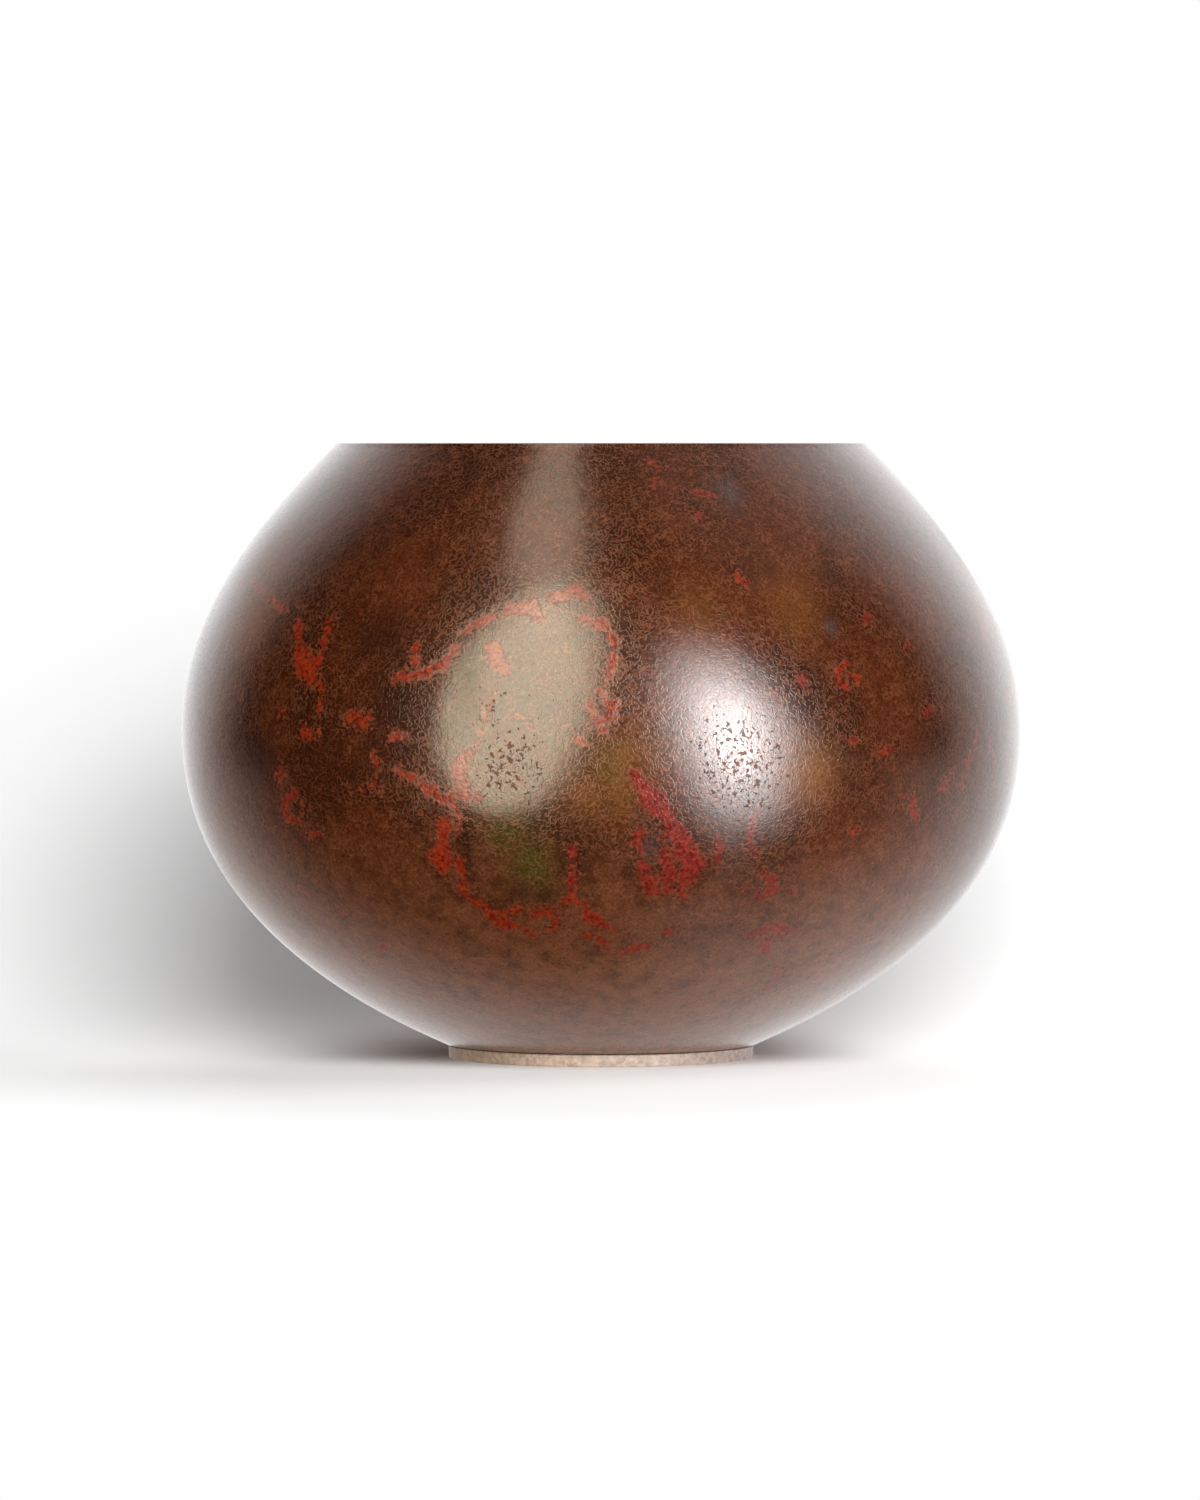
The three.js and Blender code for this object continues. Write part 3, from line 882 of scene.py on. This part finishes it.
    colour = patina.umber
    for mask, over in (
            (warm, patina.russet), (table_lit_tan, patina.tan), (dusk, patina.plum), (gold, patina.gold),
            (olive, patina.olive), (slate, patina.slate), (shaded, patina.plum), (halo, patina.plum),
            (pale, patina.tan), (dark, patina.soot), (pale_line, patina.sand), (fringe, patina.fringe),
            (crimson, crimson_skin), (ember, ember_skin), (filled_pits, patina.soot), (inside, patina.bore)):
        colour = node("Mix", {FACTOR: mask, UNDER: colour, OVER: over}, **COLOUR_MIX)

    # Relief in metres. The wax fills the finest grain, so the coat has a smoother bump than the metal
    relief = node("Math", (ripples, 0.04 * MM), operation="MULTIPLY")
    for mask, height in ((flecks, 0.017 * MM), (hairline, -0.012 * MM), (pits, -0.05 * MM),
                         (ember, -0.012 * MM)):
        relief = node("Math", (mask, height, relief), operation="MULTIPLY_ADD")
    coat_bump = node("Bump", {"Height": relief, "Distance": 1.0})
    bare_relief = node("Math", (flecks, 0.05 * MM, relief), operation="MULTIPLY_ADD")
    bump = node("Bump", {"Height": bare_relief, "Distance": 1.0})

    # The metal glows through least in the blooms, and the inside and the pits are roughest
    marked = node("Math", (ember, crimson), operation="MAXIMUM")
    metallic = node("MapRange", (marked, 0.0, 1.0, 0.16, 0.04))
    roughness = node("MapRange", (flecks, 0.35, 0.65, 0.25, 0.38))
    for mask in (inside, pits):
        roughness = node("Math", (mask, 0.25, roughness), operation="MULTIPLY_ADD")

    # Where the wax is broken: in pits, along hairlines of the eaten skin, in dark grain, on gold and on olive
    cracked = node("Math", (eaten, 0.5), operation="MULTIPLY")
    pit_share = node("Math", (pits, 0.7), operation="MULTIPLY")
    broken = node("Math", (hairline, cracked, pit_share), operation="MULTIPLY_ADD")
    dull_grains = node("MapRange", (flecks, 0.52, 0.36, 0.0, 0.14))
    broken = node("Math", (broken, dull_grains), operation="ADD")
    bare = node("Math", (gold, olive), operation="MAXIMUM")
    broken = node("Math", (bare, 0.6, broken), operation="MULTIPLY_ADD")
    broken = node("Math", (broken, 0.9), operation="MINIMUM")
    waxed = node("Math", (1.0, broken), operation="SUBTRACT")
    surface = node("BsdfPrincipled", {
        "Base Color": colour, "Metallic": metallic, "Roughness": roughness, "Normal": bump,
        "Specular IOR Level": 0.2, "Coat Weight": waxed, "Coat Roughness": WAX_ROUGHNESS,
        "Coat IOR": OXIDE_IOR, "Coat Normal": coat_bump})
    node("OutputMaterial", (surface,), None)
    return material


def turned_bronze(name, colour, patina, roughness):
    """Bronze turned in a lathe and stained brown: satin, with fine rings, rubbed bright where it stands.

    The real tool marks lie about 0.2 mm apart. They are drawn at 0.5 mm, so that they show.
    """
    material = new_material(name)
    node = partial(add_node, material.node_tree)
    where = node("TexCoord", out="Object")
    flecks = node("TexNoise", {"Vector": where, "Scale": 1 / (1.4 * MM), "Detail": 5.0, "Roughness": 0.68})
    axes = node("SeparateXYZ", (where,), None)
    flat = node("CombineXYZ", (axes["X"], axes["Y"]))
    radius = node("VectorMath", (flat,), "Value", operation="LENGTH")
    along = node("CombineXYZ", (radius, axes["Z"]))
    rings = node("TexNoise", {"Vector": along, "Scale": 1 / (0.5 * MM), "Detail": 3.0, "Roughness": 0.7})
    stained = node("MapRange", (flecks, 0.35, 0.65, 0.5, 0.95))
    standing = node("MapRange", (axes["Z"], 0.35 * MM, 0.0, 0.0, 0.25))
    rubbed = node("Math", (standing, flecks), operation="MULTIPLY")
    tint = node("Mix", {FACTOR: stained, UNDER: patina.soot, OVER: colour}, **COLOUR_MIX)
    tint = node("Mix", {FACTOR: rubbed, UNDER: tint, OVER: patina.worn}, **COLOUR_MIX)
    relief = node("Math", (rings, 0.02 * MM), operation="MULTIPLY")
    relief = node("Math", (flecks, 0.015 * MM, relief), operation="MULTIPLY_ADD")
    bump = node("Bump", {"Height": relief, "Distance": 1.0})
    ringed = node("MapRange", (rings, 0.0, 1.0, roughness - 0.08, roughness + 0.1))
    surface = node("BsdfPrincipled", {
        "Base Color": tint, "Metallic": 0.25, "Roughness": ringed, "Normal": bump,
        "Coat Weight": 0.4, "Coat Roughness": 0.5})
    node("OutputMaterial", (surface,), None)
    return material


def darkened_solder(patina):
    """Soft solder, run in and stained with the bronze. Grey, dull and a little lumpy."""
    material = new_material("darkened_solder")
    node = partial(add_node, material.node_tree)
    where = node("TexCoord", out="Object")
    lumps = node("TexNoise", {"Vector": where, "Scale": 1 / (2.5 * MM), "Detail": 3.0, "Roughness": 0.55})
    tint = node("Mix", {FACTOR: lumps, UNDER: patina.bore, OVER: patina.solder}, **COLOUR_MIX)
    relief = node("Math", (lumps, 0.12 * MM), operation="MULTIPLY")
    bump = node("Bump", {"Height": relief, "Distance": 1.0})
    rough = node("MapRange", (lumps, 0.0, 1.0, 0.4, 0.6))
    surface = node("BsdfPrincipled", {
        "Base Color": tint, "Metallic": 0.6, "Roughness": rough, "Normal": bump})
    node("OutputMaterial", (surface,), None)
    return material


# Stage

WHITE = linear("#ffffff")
DIM_ROOM = linear("#ffcfb8")

# Lamps that the vase mirrors: place, the way each faces, width and height in metres, colour, roll in degrees,
# and the core and the falloff of its glow
LEANING = (0, 0.95, -0.33)
VASE_LAMPS = (
    ("tall_lamp", (-0.45, -0.91, 0.17), LEANING, (0.88, 2.2), "#fff3d6", -17, 0.64),
    ("high_lamp", (-0.4, -0.21, 2.23), LEANING, (0.62, 3.9), "#ffebd2", 7, 0.55),
    ("round_lamp", (0.5, -0.74, 0.1), (-0.58, 0.81, 0), (0.88, 2.1), "#ffffff", 12, 0.0, 2.9),
)

# Places of the floor's own lamps, which are plain panels that face one point over the floor
FLOOR_LAMPS = (
    ("floor_lamp", (0.24, -1.34, 0.63)),
    ("floor_back_lamp", (0.1, 1.22, 0.86)),
    ("floor_side_lamp", (1.06, 0, 1.06)),
)
FLOOR_LAMP_SIZE = (1.0, 0.8)
FLOOR_LAMP_AIM = Vector((0, 0, 50 * MM))

# Watts that a square metre of lamp takes to look white
WATTS_OF_WHITE = 4

# The paper, in metres. A row of points in front of the vase keeps the shading of its curve off the rest
SWEEP_BACK = 0.3
SWEEP_CURVE = 0.3
SWEEP_STEPS = 24
SWEEP_HALF_WIDTH = 2.5
SWEEP_FRONT = 2.5
SWEEP_ROW = 0.3
SWEEP_TOP = 2.0


def add_lamp(name, place, facing, size, brightness, code="#ffffff", roll=0.0, core=None, falloff=1.0):
    """A lamp that only reflections and shadows show. Brightness is that of its face, where 1 is white.

    With a core, the lamp is an oval. Its glow is full inside that share of it and fades smoothly to its edge.
    With a core of 0 it fades evenly from the middle, and the falloff's power makes the fade steeper.
    """
    oval = core is not None
    lamp = bpy.data.lights.new(name, "AREA")
    lamp.shape = "ELLIPSE" if oval else "RECTANGLE"
    lamp.size, lamp.size_y = size
    lamp.energy = brightness * WATTS_OF_WHITE * size[0] * size[1] * (math.pi / 4 if oval else 1)
    lamp.color = linear(code)[:3]
    if oval:
        lamp.use_nodes = True
        lamp.node_tree.nodes.clear()
        node = partial(add_node, lamp.node_tree)
        face = node("NewGeometry", out="Parametric")
        across = node("VectorMath", (face, (0.5, 0.5, 0.0)), "Value", operation="DISTANCE")
        glow = node("MapRange", (across, 0.5, core / 2), **(SMOOTH if core else {}))
        glow = node("Math", (glow, falloff), operation="POWER")
        light = node("Emission", {"Strength": glow})
        node("OutputLight", (light,), None)
    holder = bpy.data.objects.new(name, lamp)
    holder.location = place
    turned = Vector(facing).to_track_quat("-Z", "Y") @ Quaternion((0, 0, 1), math.radians(roll))
    holder.rotation_euler = turned.to_euler()
    holder.visible_camera = False
    bpy.context.scene.collection.objects.link(holder)
    return holder


def light_apart(paper, floor_lamps, vase_lamps):
    """Gives the paper its own lamps, so that its shadow falls one way."""
    for name, lamps, state in (("paper_lit", floor_lamps, "INCLUDE"), ("paper_unlit", vase_lamps, "EXCLUDE")):
        group = bpy.data.collections.new(name)
        group.objects.link(paper)
        group.collection_objects[0].light_linking.link_state = state
        for lamp in lamps:
            lamp.light_linking.receiver_collection = group


def pale_paper():
    """Seamless studio paper, matt and white. It keeps the vase's shadow.

    To the camera it fades to plain white away from the vase, and its back is clear.
    """
    material = new_material("pale_paper")
    node = partial(add_node, material.node_tree)
    where = node("TexCoord", out="Object")
    stretched = node("VectorMath", (where, (1.0, 1.0, 1.5)), operation="MULTIPLY")
    away = node("VectorMath", (stretched,), "Value", operation="LENGTH")
    fade = node("MapRange", (away, 0.2, 0.38), **SMOOTH)
    paper = node("BsdfDiffuse", (WHITE,))
    white = node("Emission", (WHITE, 1.0))
    shown = node("MixShader", (fade, paper, white))
    behind = node("NewGeometry", out="Backfacing")
    clear = node("BsdfTransparent")
    one_sided = node("MixShader", (behind, shown, clear))
    to_camera = node("LightPath", out="Is Camera Ray")
    surface = node("MixShader", (to_camera, paper, one_sided))
    node("OutputMaterial", (surface,), None)
    return material


def paper_sweep():
    """Floor that curves up into a wall behind the vase."""
    curve = arc((SWEEP_BACK - SWEEP_CURVE, SWEEP_CURVE), SWEEP_CURVE, SWEEP_CURVE,
                -math.pi / 2, 0, SWEEP_STEPS)
    section = [(-SWEEP_FRONT, 0.0), (-SWEEP_ROW, 0.0), *curve, (SWEEP_BACK, SWEEP_TOP)]
    vertices = [(x, y, z) for x in (-SWEEP_HALF_WIDTH, SWEEP_HALF_WIDTH) for y, z in section]
    count = len(section)
    mesh = bpy.data.meshes.new("paper_sweep")
    mesh.from_pydata(vertices, [], [(i, i + count, i + count + 1, i + 1) for i in range(count - 1)])
    mesh.materials.append(pale_paper())
    mesh.shade_smooth()
    paper = bpy.data.objects.new("paper_sweep", mesh)
    bpy.context.scene.collection.objects.link(paper)
    paper.visible_glossy = False
    paper.visible_shadow = False
    paper.visible_diffuse = False
    return paper


def studio_world(scene, ambient):
    """White to the camera. In reflections, white behind the vase and dark in front, as a lit backdrop gives.

    Below the horizon is the table, which dims towards the front and is a little brighter round the foot. A
    faint glow high and low on the right is the ceiling, and its light on the table. Only the reflections are
    tinted: the dimmer they are, the warmer. Matt surfaces get the ambient light and what the table returns.
    """
    world = bpy.data.worlds.new("studio")
    world.use_nodes = True
    world.node_tree.nodes.clear()
    node = partial(add_node, world.node_tree)
    way = node("TexCoord", out="Generated")
    axes = node("SeparateXYZ", (way,), None)
    up = axes["Z"]

    # The lit wall at the back, which reaches a little further round on the right
    right_half = node("Math", (axes["X"], 0.0), operation="MAXIMUM")
    back = node("VectorMath", (way, (0.0, 1.0, 0.2)), "Value", operation="DOT_PRODUCT")
    back = node("Math", (right_half, 0.2, back), operation="MULTIPLY_ADD")
    wall = node("MapRange", (back, 0.45, 1.0, 0.0, 1.3))

    # The table
    foot_glow = node("MapRange", (up, -0.97, -0.84, 0.0, 0.07))
    table = node("VectorMath", (way, (0.18, 0.92, 0.11)), "Value", operation="DOT_PRODUCT")
    table = node("Math", (table, foot_glow), operation="ADD")
    table = node("Math", (table, 0.0), operation="MAXIMUM")
    below = node("MapRange", (up, -0.02, -0.22), **SMOOTH)
    mirrored = node("Mix", (below, None, wall, table))

    # The ceiling's glow
    right = node("VectorMath", (way, (0.45, 0.1, 0.0)), "Value", operation="DOT_PRODUCT")
    steep = node("Math", (up,), operation="ABSOLUTE")
    steep = node("Math", (steep, 0.89, right), operation="MULTIPLY_ADD")
    ceiling = node("MapRange", (steep, 0.86, 0.99, 0.0, 0.2), **SMOOTH)
    mirrored = node("Math", (mirrored, ceiling), operation="ADD")

    bounced = node("Math", (table, below), operation="MULTIPLY")
    bounced = node("Math", (bounced, 0.6, ambient), operation="MULTIPLY_ADD")
    paths = node("LightPath", out=None)
    strength = node("Mix", (paths["Is Glossy Ray"], None, bounced, mirrored))
    strength = node("Mix", (paths["Is Camera Ray"], None, strength, 1.0))
    whiteness = node("Mix", (paths["Is Glossy Ray"], None, 1.0, mirrored))
    tint = node("Mix", {FACTOR: whiteness, UNDER: DIM_ROOM, OVER: WHITE}, **COLOUR_MIX)
    light = node("Background", (tint, strength))
    node("OutputWorld", (light,), None)
    scene.world = world


def add_camera(scene, studio):
    """A camera at the mouth's level that aims at the vase's middle."""
    camera = bpy.data.objects.new("camera", bpy.data.cameras.new("camera"))
    camera.data.lens = studio.lens
    camera.location = (studio.camera_side, -studio.camera_distance, MOUTH_LEVEL)
    aim = Vector((studio.camera_side, 0, MOUTH_LEVEL / 2))
    camera.rotation_euler = (camera.location - aim).to_track_quat("Z", "Y").to_euler()
    scene.collection.objects.link(camera)
    scene.camera = camera


# Operators

def finish_piece(piece, cad_node):
    """Puts a piece on the body root, in place of a CAD node where there is one."""
    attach(piece, "root")
    if cad_node:
        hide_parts(cad_node)


class VASE_OT_body(Operator):
    """Turn the casting and stain it"""

    bl_idname = "vase.body"
    bl_label = "Body"

    def execute(self, context):
        shape, patina = context.scene.vase_shape, context.scene.vase_patina
        inputs = {"Columns": shape.columns, "Crowding": FRONT_CROWDING,
                  "Skin Depth": shape.skin_depth, "Skin Wave": shape.skin_wave}
        body = turned_piece("bronze_body", body_profile(shape), patinated_bronze(patina), inputs)
        store_patina(body, shape, patina.seed)
        finish_piece(body, "vase_body")
        return {"FINISHED"}


class VASE_OT_foot(Operator):
    """Turn the foot ring"""

    bl_idname = "vase.foot"
    bl_label = "Foot Ring"

    def execute(self, context):
        shape, patina = context.scene.vase_shape, context.scene.vase_patina
        # The foot's pale colour is partly painted reflection of the pale table
        material = turned_bronze("turned_foot_bronze", patina.foot, patina, FOOT_ROUGHNESS)
        foot = turned_piece("bronze_foot", foot_profile(shape), material, {"Columns": FOOT_COLUMNS})
        finish_piece(foot, "foot_ring")
        return {"FINISHED"}


class VASE_OT_base(Operator):
    """Turn the base plate"""

    bl_idname = "vase.base"
    bl_label = "Base Plate"

    def execute(self, context):
        shape, patina = context.scene.vase_shape, context.scene.vase_patina
        material = turned_bronze("turned_plate_bronze", patina.plate, patina, PLATE_ROUGHNESS)
        plate = turned_piece("bronze_plate", plate_profile(shape), material)
        finish_piece(plate, "base_plate")
        return {"FINISHED"}


class VASE_OT_solder(Operator):
    """Run solder round both joints of the base plate"""

    bl_idname = "vase.solder"
    bl_label = "Solder"

    def execute(self, context):
        shape, patina = context.scene.vase_shape, context.scene.vase_patina
        material = darkened_solder(patina)
        for name, profile in (("floor_solder", floor_bead_profile), ("under_solder", under_bead_profile)):
            bead = turned_piece(name, profile(shape), material)
            finish_piece(bead, None)
        return {"FINISHED"}


class VASE_OT_stage(Operator):
    """Set up the paper, the lamps and the camera"""

    bl_idname = "vase.stage"
    bl_label = "Studio"

    def execute(self, context):
        scene, studio = context.scene, context.scene.vase_studio
        add_camera(scene, studio)
        paper = paper_sweep()
        studio_world(scene, studio.ambient)
        vase_lamps = [add_lamp(name, place, facing, size, getattr(studio, name), *glow)
                      for name, place, facing, size, *glow in VASE_LAMPS]
        floor_lamps = [
            add_lamp(name, place, FLOOR_LAMP_AIM - Vector(place), FLOOR_LAMP_SIZE, getattr(studio, name))
            for name, place in FLOOR_LAMPS]
        light_apart(paper, floor_lamps, vase_lamps)
        scene.view_settings.view_transform = "Standard"
        return {"FINISHED"}


class VASE_PT_panel(Panel):
    """Sizes, colours and buttons of the vase"""

    bl_idname = "VASE_PT_panel"
    bl_label = "Bronze Vase"
    bl_space_type = "VIEW_3D"
    bl_region_type = "UI"
    bl_category = "Vase"

    def draw(self, context):
        for group_name in GROUPS:
            group = getattr(context.scene, group_name)
            column = self.layout.column()
            for name in group.__annotations__:
                column.prop(group, name)
        for operator in OPERATORS:
            self.layout.operator(operator.bl_idname)


GROUPS = {"vase_shape": VaseShape, "vase_patina": VasePatina, "vase_studio": VaseStudio}
OPERATORS = (VASE_OT_body, VASE_OT_foot, VASE_OT_base, VASE_OT_solder, VASE_OT_stage)
CLASSES = (*GROUPS.values(), *OPERATORS, VASE_PT_panel)


def register():
    for made in CLASSES:
        bpy.utils.register_class(made)
    for name, group in GROUPS.items():
        setattr(bpy.types.Scene, name, PointerProperty(type=group))


def unregister():
    for name in GROUPS:
        delattr(bpy.types.Scene, name)
    for made in reversed(CLASSES):
        bpy.utils.unregister_class(made)


def main():
    register()
    bpy.ops.vase.body()
    bpy.ops.vase.foot()
    bpy.ops.vase.base()
    bpy.ops.vase.solder()
    bpy.ops.vase.stage()


if __name__ == "__main__":
    main()
